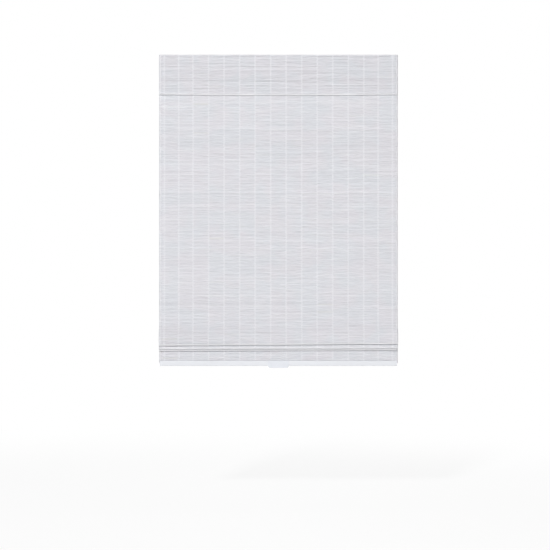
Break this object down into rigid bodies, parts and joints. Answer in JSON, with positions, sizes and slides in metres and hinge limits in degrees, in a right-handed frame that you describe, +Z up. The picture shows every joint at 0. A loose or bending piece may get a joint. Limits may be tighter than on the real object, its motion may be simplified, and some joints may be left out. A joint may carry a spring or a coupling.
{
  "type": "bamboo roman shade",
  "caption": "White woven reed roman shade for inside mounting, cordless, partly raised with gathered folds above its bottom rail.",
  "frame": {"origin": "centre of the four bracket screw holes, on the brackets' top faces", "axes": "+Z up into the surface the brackets are screwed to, X along the shade's width, the room side faces -Y"},
  "size_m": [0.901, 0.0778, 1.1824],
  "materials": {
    "white_reed": "satin",
    "warp_yarn": "matt",
    "white_rail": "satin",
    "white_plastic": "satin",
    "head_steel": "satin",
    "bracket_steel": "satin",
    "shaft_aluminium": "satin",
    "spring_steel": "satin",
    "grey_plastic": "matt",
    "tape": "matt",
    "cord": "matt"
  },
  "bodies": {
    "head": {"headrail": "head_steel", "end_cap_left": "white_plastic", "end_cap_right": "white_plastic", "bracket_left": "bracket_steel", "bracket_right": "bracket_steel", "mat_tape": "tape", "valance_tape": "tape", "valance": "white_reed", "valance_yarns": "warp_yarn", "cradle_left": "white_plastic", "cradle_middle": "white_plastic", "cradle_right": "white_plastic", "motor_housing": "grey_plastic", "motor_cover": "grey_plastic", "spring_band": "spring_steel", "shade_mat": "white_reed", "warp_yarns": "warp_yarn", "lift_cords": "cord"},
    "shaft": {"lift_shaft": "shaft_aluminium", "spool_left": "white_plastic", "spool_middle": "white_plastic", "spool_right": "white_plastic", "cord_turns": "cord", "output_drum": "grey_plastic"},
    "storage": {"storage_drum": "grey_plastic"},
    "bottom": {"bottom_rail": "white_rail", "rail_cap_left": "white_plastic", "rail_cap_right": "white_plastic", "handle": "white_plastic", "ring_row_1": "white_plastic", "ring_row_2": "white_plastic", "ring_row_3": "white_plastic", "ring_row_4": "white_plastic", "cord_connectors": "white_plastic"},
    "ring_row_5_body": {"ring_row_5": "white_plastic"},
    "ring_row_6_body": {"ring_row_6": "white_plastic"},
    "ring_row_7_body": {"ring_row_7": "white_plastic"},
    "ring_row_8_body": {"ring_row_8": "white_plastic"},
    "ring_row_9_body": {"ring_row_9": "white_plastic"}
  },
  "joints": [
    {"name": "shade_lift", "type": "slide", "parent": "head", "child": "bottom", "axis": [0, 0, 1], "range_m": [-0.452, 0.78], "deforming": ["shade_mat", "warp_yarns", "lift_cords"]},
    {"name": "shaft_turn", "type": "hinge", "parent": "head", "child": "shaft", "pos_m": [0, -0.008, -0.0208], "axis": [1, 0, 0], "range_deg": [-3480, 2017]},
    {"name": "storage_turn", "type": "hinge", "parent": "head", "child": "storage", "pos_m": [0.146, 0.011, -0.0208], "axis": [1, 0, 0], "range_deg": [-2017, 3480]},
    {"name": "ring_row_5_rise", "type": "slide", "parent": "head", "child": "ring_row_5_body", "axis": [0, 0, 1], "range_m": [-0.379, 0.6533]},
    {"name": "ring_row_6_rise", "type": "slide", "parent": "head", "child": "ring_row_6_body", "axis": [0, 0, 1], "range_m": [-0.305, 0.5255]},
    {"name": "ring_row_7_rise", "type": "slide", "parent": "head", "child": "ring_row_7_body", "axis": [0, 0, 1], "range_m": [-0.231, 0.3979]},
    {"name": "ring_row_8_rise", "type": "slide", "parent": "head", "child": "ring_row_8_body", "axis": [0, 0, 1], "range_m": [-0.1569, 0.2701]},
    {"name": "ring_row_9_rise", "type": "slide", "parent": "head", "child": "ring_row_9_body", "axis": [0, 0, 1], "range_m": [-0.0829, 0.1424]}
  ],
  "couplings": [
    {"joint": "shaft_turn", "follows": "shade_lift", "rad_per_m": -77.821},
    {"joint": "storage_turn", "follows": "shade_lift", "rad_per_m": 77.821},
    {"joint": "ring_row_5_rise", "follows": "shade_lift", "ratio": 0.8363},
    {"joint": "ring_row_6_rise", "follows": "shade_lift", "ratio": 0.6725},
    {"joint": "ring_row_7_rise", "follows": "shade_lift", "ratio": 0.5088},
    {"joint": "ring_row_8_rise", "follows": "shade_lift", "ratio": 0.345},
    {"joint": "ring_row_9_rise", "follows": "shade_lift", "ratio": 0.1813}
  ]
}
